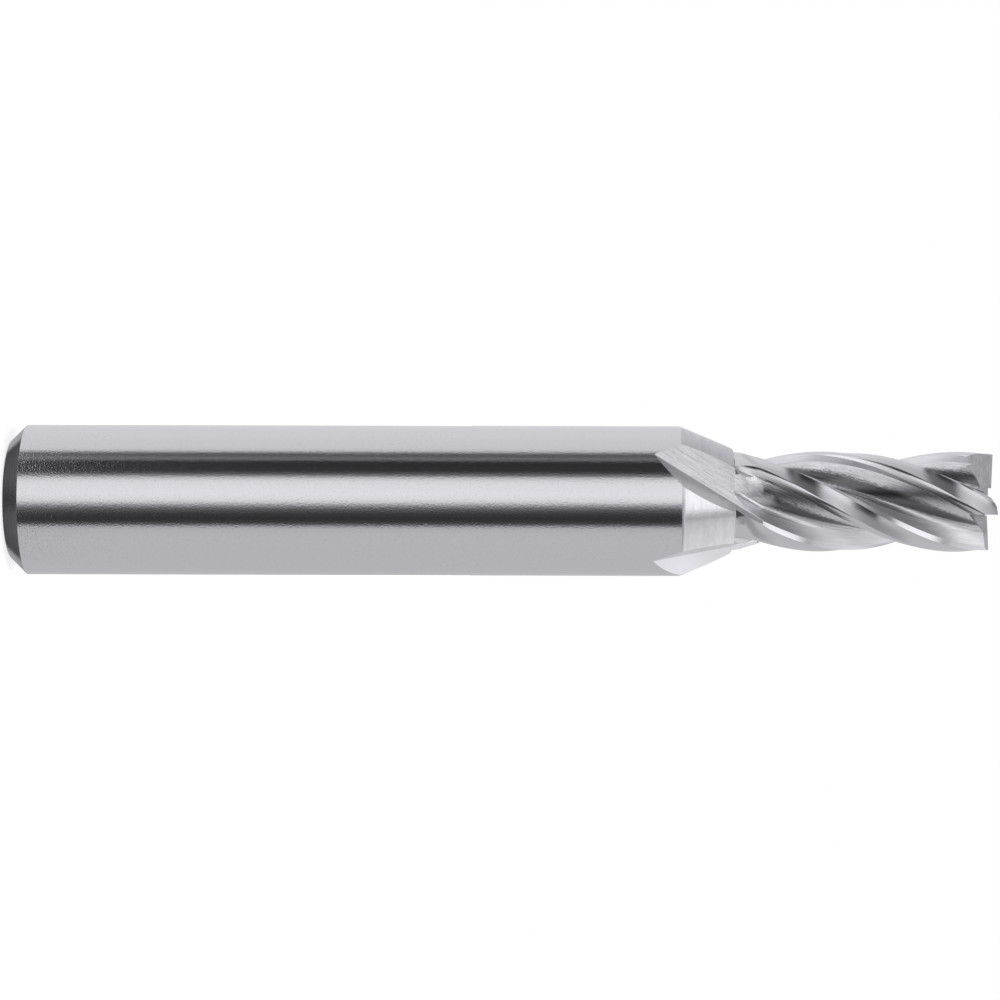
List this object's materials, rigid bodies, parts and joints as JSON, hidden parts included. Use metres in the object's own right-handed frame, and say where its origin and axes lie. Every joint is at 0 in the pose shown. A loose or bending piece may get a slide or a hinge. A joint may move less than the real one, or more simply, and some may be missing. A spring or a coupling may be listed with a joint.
{
  "type": "end mill",
  "caption": "Solid milling cutter with a straight plain shank, a short cone, helical flutes and teeth that cut at the side and at the end.",
  "frame": {"origin": "centre of the shank's flat end face, which the tool stands on", "axes": "+Z along the tool's axis, from the shank's end to the cutting end"},
  "size_m": [0.0096, 0.0096, 0.0623],
  "materials": {
    "tool_steel": "ground bright, bare"
  },
  "bodies": {
    "root": {"end_mill": "tool_steel"}
  },
  "joints": []
}
